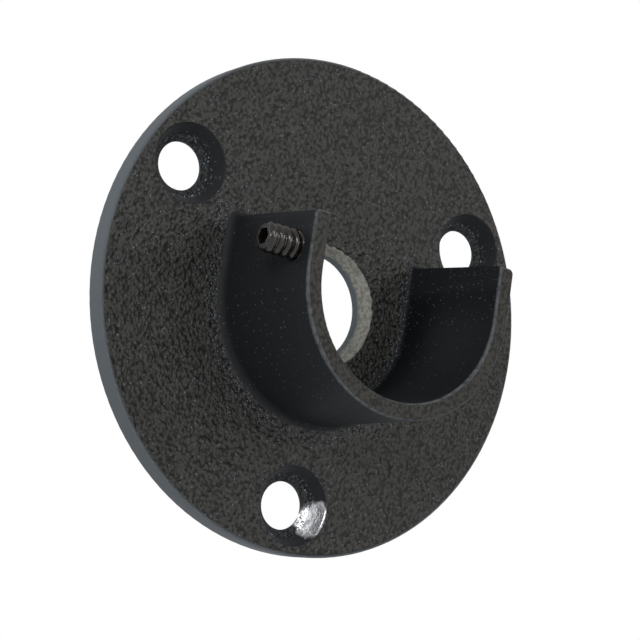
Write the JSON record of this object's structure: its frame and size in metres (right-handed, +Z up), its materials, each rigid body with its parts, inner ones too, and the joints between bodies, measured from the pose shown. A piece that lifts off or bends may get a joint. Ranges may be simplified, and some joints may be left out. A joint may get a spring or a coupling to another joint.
{
  "type": "tube clamp base flange",
  "caption": "Round cast wall flange with a U-shaped open saddle that carries the end of a round rail, countersunk screw holes, a centre hole and a side grub screw.",
  "frame": {"origin": "centre of the flat back face, where the rail's axis meets the wall", "axes": "+Z up, towards the open side of the saddle; +Y into the wall, so the rail leaves along -Y; +X to the right as seen from the room, so the grub screw is on the -X arm"},
  "size_m": [0.0825, 0.028, 0.0824],
  "materials": {
    "black_casting": "black enamel over a grained casting, satin, worn to bare metal at one screw hole and thin on the edges",
    "black_oxide_steel": "black oxide, lightly oiled, semi-gloss"
  },
  "bodies": {
    "flange": {"flange": "black_casting"},
    "grub_screw": {"grub_screw": "black_oxide_steel"}
  },
  "joints": [
    {"name": "grub_screw_travel", "type": "slide", "parent": "flange", "child": "grub_screw", "axis": [1, 0, 0], "range_m": [0, 0.0058]}
  ]
}
